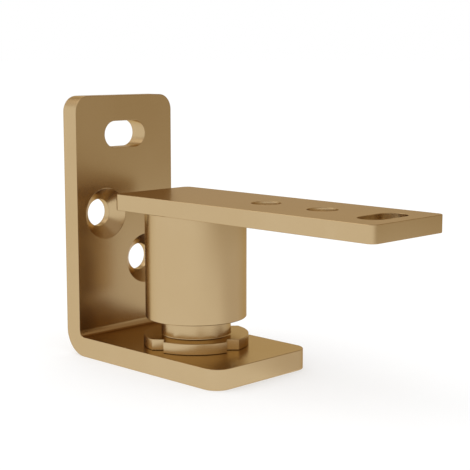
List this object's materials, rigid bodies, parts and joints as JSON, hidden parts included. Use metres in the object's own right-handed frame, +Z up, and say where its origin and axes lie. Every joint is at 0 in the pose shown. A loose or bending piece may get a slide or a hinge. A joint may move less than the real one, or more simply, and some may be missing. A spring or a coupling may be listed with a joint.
{
  "type": "pivot hinge",
  "caption": "Bottom pivot hinge for a swing door: a folded wall bracket carries a barrel with a door strap, raised or lowered by a notched collar turned with a hook spanner.",
  "frame": {"origin": "on the pivot axis, at the underside of the bracket's leg", "axes": "+X along the door strap, away from the wall; +Y across the strap; +Z up along the pivot axis"},
  "size_m": [0.0958, 0.032, 0.0657],
  "materials": {
    "champagne_metal": "satin champagne plating on steel",
    "bright_steel": "ground bearing steel and zinc-plated small parts",
    "bearing_bronze": "sintered bronze",
    "nylon": "natural nylon",
    "seal_rubber": "matt black"
  },
  "bodies": {
    "bracket_side": {"wall_bracket": "champagne_metal", "collar_washer": "bright_steel", "lock_screw": "bright_steel"},
    "adjuster": {"notched_collar": "champagne_metal", "friction_ring": "nylon"},
    "spindle_side": {"spindle": "bright_steel", "foot_ring": "bright_steel", "lower_race": "bright_steel", "journal_ring": "bright_steel"},
    "ball_set": {"ball_cage": "bearing_bronze", "bearing_balls": "bright_steel"},
    "door_side": {"barrel": "champagne_metal", "door_strap": "champagne_metal", "strap_screws": "bright_steel", "upper_race": "bright_steel", "upper_bush": "bearing_bronze", "spacer_ring": "bright_steel", "lower_bush": "bearing_bronze", "mouth_ring": "bright_steel", "grease_seal": "seal_rubber"}
  },
  "joints": [
    {"name": "collar_turn", "type": "hinge", "parent": "bracket_side", "child": "adjuster", "pos_m": [0, 0, 0.006], "axis": [0, 0, -1], "range_deg": [0, 480]},
    {"name": "height_lift", "type": "slide", "parent": "bracket_side", "child": "spindle_side", "axis": [0, 0, 1], "range_m": [0, 0.002]},
    {"name": "door_swing", "type": "hinge", "parent": "spindle_side", "child": "door_side", "pos_m": [0, 0, 0.03], "axis": [0, 0, 1], "range_deg": [-120, 120]},
    {"name": "cage_turn", "type": "hinge", "parent": "spindle_side", "child": "ball_set", "pos_m": [0, 0, 0.0235], "axis": [0, 0, 1], "range_deg": [-60, 60]}
  ],
  "couplings": [
    {"joint": "collar_turn", "follows": "height_lift", "rad_per_m": 4188.8},
    {"joint": "cage_turn", "follows": "door_swing", "ratio": 0.5}
  ]
}
